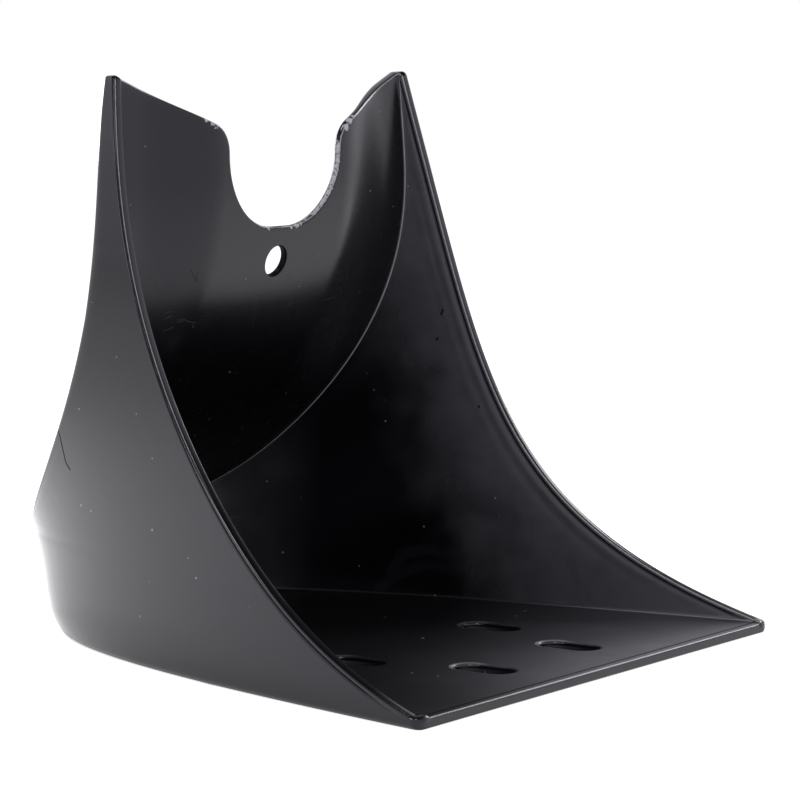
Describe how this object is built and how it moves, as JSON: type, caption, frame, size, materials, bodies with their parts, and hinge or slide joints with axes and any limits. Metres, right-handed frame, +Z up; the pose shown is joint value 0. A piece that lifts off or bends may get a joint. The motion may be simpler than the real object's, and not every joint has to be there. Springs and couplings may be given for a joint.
{
  "type": "front spoiler",
  "caption": "Scoop-shaped motorbike front spoiler with a flat slotted floor, swept side walls and a recessed front panel with a notch and a bolt hole.",
  "frame": {"origin": "middle of the footprint at the floor's underside", "axes": "+Y forward, towards the nose behind the front wheel; +Z up, at right angles to the flat floor; +X to the rider's right"},
  "size_m": [0.2718, 0.2894, 0.2526],
  "materials": {
    "shell": "black gloss, a little worn, with fine scratches, dust specks and pale chips on the edge of the notch"
  },
  "bodies": {
    "root": {"shell": "shell"}
  },
  "joints": []
}
